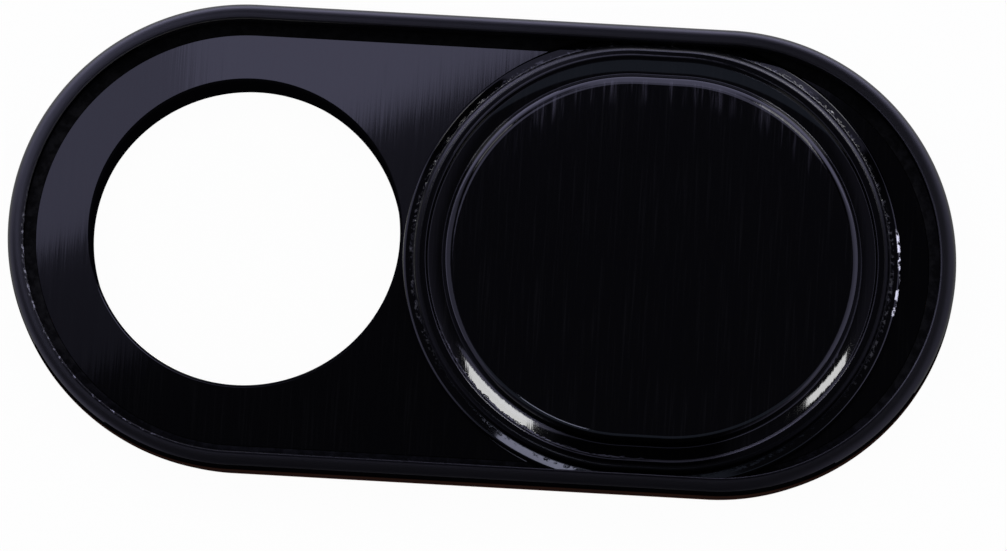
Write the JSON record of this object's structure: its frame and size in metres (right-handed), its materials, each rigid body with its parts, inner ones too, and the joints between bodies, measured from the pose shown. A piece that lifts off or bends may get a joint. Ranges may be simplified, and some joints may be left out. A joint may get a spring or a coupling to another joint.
{
  "type": "webcam cover slider",
  "caption": "Pill-shaped metal webcam cover with a round camera window and an obround shutter that slides under the lip of its rounded rim to cover it.",
  "frame": {"origin": "middle of the adhesive face that sticks to the screen bezel", "axes": "+X along the slide towards the open end, +Y across the tray, +Z out of the screen towards the user"},
  "size_m": [0.017, 0.0084, 0.0018],
  "materials": {
    "adhesive": "amber adhesive film with a dull cut edge",
    "brushed_plate": "black lacquer over fine brushing that runs across the tray",
    "gloss_rim": "gloss black lacquer",
    "shutter_finish": "gloss black lacquer with a brushed face"
  },
  "bodies": {
    "tray": {"base_plate": "brushed_plate", "rim_frame": "gloss_rim", "adhesive_pad": "adhesive"},
    "shutter": {"shutter": "shutter_finish"}
  },
  "joints": [
    {"name": "shutter_slide", "type": "slide", "parent": "tray", "child": "shutter", "axis": [1, 0, 0], "range_m": [-0.00695, 0.00085]}
  ]
}
